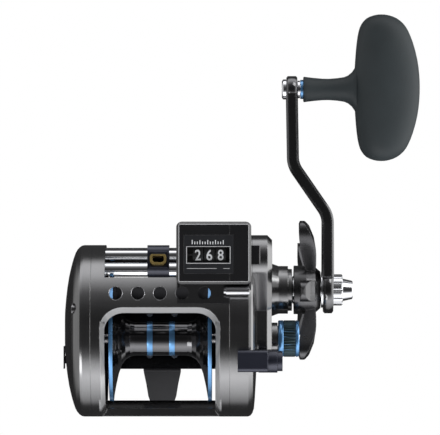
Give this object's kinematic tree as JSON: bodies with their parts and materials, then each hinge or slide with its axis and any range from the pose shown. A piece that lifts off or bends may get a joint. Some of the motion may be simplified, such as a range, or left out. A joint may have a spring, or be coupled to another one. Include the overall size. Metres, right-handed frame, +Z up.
{
  "type": "trolling reel",
  "caption": "Level-wind trolling reel with star drag, cranked T-knob handle, clutch lever and a mechanical line counter over the front.",
  "frame": {"origin": "centre of the foot's underside, on the seat face", "axes": "+Z up from the rod, spool axis 42 mm above; +Y to the rod tip; +X to the handle side"},
  "size_m": [0.1698, 0.1916, 0.087],
  "materials": {
    "gunmetal": "satin",
    "foot_grey": "satin",
    "black_gloss": "gloss",
    "slate": "satin",
    "chrome": "polished",
    "steel": "satin",
    "brass": "satin",
    "blue": "gloss",
    "grip_foam": "matte",
    "plastic": "matte",
    "clear": "clear"
  },
  "bodies": {
    "frame": {"frame": "gunmetal", "reel_foot": "foot_grey", "foot_screws": "steel", "left_side_cover": "gunmetal", "side_screws": "steel", "right_side_plate": "gunmetal", "gear_cover": "gunmetal", "gear_cover_screws": "steel", "spool_bearings": "steel", "bushes": "brass", "levelwind_tube": "chrome", "guide_rod": "chrome", "roller_clutch": "steel", "counter_housing": "black_gloss", "counter_drive_case": "black_gloss", "counter_panel": "black_gloss", "counter_lens": "clear", "counter_stay_pin": "steel", "axles": "steel", "yoke_pins": "steel"},
    "drive": {"drive_shaft": "steel", "ratchet_wheel": "steel", "main_gear": "brass", "friction_washers": "plastic", "keyed_washers": "steel", "clutch_sleeve": "steel", "spring_washer": "chrome", "arm_washer": "chrome", "handle_arm": "black_gloss", "handle_nut": "chrome", "knob_spindle": "chrome", "knob_screw": "chrome"},
    "star": {"star_wheel": "black_gloss"},
    "star_nut": {"star_nut": "steel"},
    "knob": {"knob_grip": "grip_foam", "knob_collar": "blue"},
    "spool": {"spool": "black_gloss", "spool_shaft": "steel", "levelwind_drive_gear": "plastic", "click_gear": "plastic"},
    "lever": {"clutch_lever": "slate", "lever_shaft": "slate"},
    "yoke": {"clutch_yoke": "steel"},
    "pinion": {"pinion_gear": "steel"},
    "tension": {"tension_knob": "blue"},
    "worm": {"worm_shaft": "steel", "worm_gear": "brass", "counter_pinion": "plastic"},
    "levelwind_idler": {"levelwind_idler": "plastic"},
    "carriage": {"line_guide_carriage": "slate", "guide_ring": "brass"},
    "pawl": {"worm_pawl": "steel"},
    "counter_idler": {"counter_idler": "plastic"},
    "units": {"units_wheel": "plastic"},
    "tens": {"tens_wheel": "plastic"},
    "hundreds": {"hundreds_wheel": "plastic"},
    "reset": {"reset_button": "black_gloss"},
    "click": {"click_button": "black_gloss", "click_pawl": "steel"},
    "dog": {"antireverse_dog": "steel"}
  },
  "joints": [
    {"name": "handle_turn", "type": "hinge", "parent": "frame", "child": "drive", "pos_m": [0.0796, 0.0229, 0.03067], "axis": [1, 0, 0], "continuous": true},
    {"name": "star_turn", "type": "hinge", "parent": "drive", "child": "star", "pos_m": [0.069, 0.0229, 0.03067], "axis": [1, 0, 0], "range_deg": [-180, 180]},
    {"name": "star_nut_travel", "type": "slide", "parent": "drive", "child": "star_nut", "axis": [1, 0, 0], "range_m": [-0.000376, 0.000376]},
    {"name": "knob_spin", "type": "hinge", "parent": "drive", "child": "knob", "pos_m": [0.1, 0.1187, 0.03067], "axis": [1, 0, 0], "continuous": true},
    {"name": "spool_spin", "type": "hinge", "parent": "frame", "child": "spool", "pos_m": [0, 0, 0.042], "axis": [1, 0, 0], "continuous": true},
    {"name": "clutch_lever_turn", "type": "hinge", "parent": "frame", "child": "lever", "pos_m": [0.05, -0.01, 0.059], "axis": [1, 0, 0], "range_deg": [0, 30]},
    {"name": "yoke_travel", "type": "slide", "parent": "frame", "child": "yoke", "axis": [1, 0, 0], "range_m": [0, 0.0018]},
    {"name": "pinion_spin", "type": "hinge", "parent": "yoke", "child": "pinion", "pos_m": [0.045, 0, 0.042], "axis": [1, 0, 0], "continuous": true},
    {"name": "tension_turn", "type": "hinge", "parent": "frame", "child": "tension", "pos_m": [0.06, 0, 0.042], "axis": [1, 0, 0], "range_deg": [-360, 360]},
    {"name": "worm_spin", "type": "hinge", "parent": "frame", "child": "worm", "pos_m": [0, 0.0329, 0.052], "axis": [1, 0, 0], "continuous": true},
    {"name": "levelwind_idler_spin", "type": "hinge", "parent": "frame", "child": "levelwind_idler", "pos_m": [-0.037, 0.02045, 0.04679], "axis": [1, 0, 0], "continuous": true},
    {"name": "carriage_travel", "type": "slide", "parent": "frame", "child": "carriage", "axis": [1, 0, 0], "range_m": [-0.0193, 0.0215]},
    {"name": "pawl_swing", "type": "hinge", "parent": "carriage", "child": "pawl", "pos_m": [-0.0011, 0.0329, 0.047], "axis": [0, 0, 1], "range_deg": [-25, 25]},
    {"name": "counter_idler_spin", "type": "hinge", "parent": "frame", "child": "counter_idler", "pos_m": [0.035, 0.03725, 0.0674], "axis": [1, 0, 0], "continuous": true},
    {"name": "units_turn", "type": "hinge", "parent": "frame", "child": "units", "pos_m": [0.0283, 0.0401, 0.0775], "axis": [1, 0, 0], "continuous": true},
    {"name": "tens_turn", "type": "hinge", "parent": "frame", "child": "tens", "pos_m": [0.02305, 0.0401, 0.0775], "axis": [1, 0, 0], "continuous": true},
    {"name": "hundreds_turn", "type": "hinge", "parent": "frame", "child": "hundreds", "pos_m": [0.01775, 0.0401, 0.0775], "axis": [1, 0, 0], "continuous": true},
    {"name": "reset_push", "type": "slide", "parent": "frame", "child": "reset", "axis": [-1, 0, 0], "range_m": [0, 0.0015]},
    {"name": "click_slide", "type": "slide", "parent": "frame", "child": "click", "axis": [0, 1, 0], "range_m": [0, 0.003]},
    {"name": "dog_swing", "type": "hinge", "parent": "frame", "child": "dog", "pos_m": [0.0412, 0.003, 0.026], "axis": [1, 0, 0], "range_deg": [-4, 4]}
  ],
  "couplings": [
    {"joint": "spool_spin", "follows": "handle_turn", "ratio": -5.0833},
    {"joint": "pinion_spin", "follows": "handle_turn", "ratio": -5.0833},
    {"joint": "levelwind_idler_spin", "follows": "handle_turn", "ratio": 2.0333},
    {"joint": "worm_spin", "follows": "handle_turn", "ratio": -2.5417},
    {"joint": "counter_idler_spin", "follows": "handle_turn", "ratio": 0.58654},
    {"joint": "units_turn", "follows": "handle_turn", "ratio": -0.23462},
    {"joint": "tens_turn", "follows": "handle_turn", "ratio": -0.023462},
    {"joint": "hundreds_turn", "follows": "handle_turn", "ratio": -0.0023462},
    {"joint": "yoke_travel", "follows": "clutch_lever_turn", "m_per_rad": 0.0034377},
    {"joint": "star_nut_travel", "follows": "star_turn", "m_per_rad": 0.00011937}
  ]
}
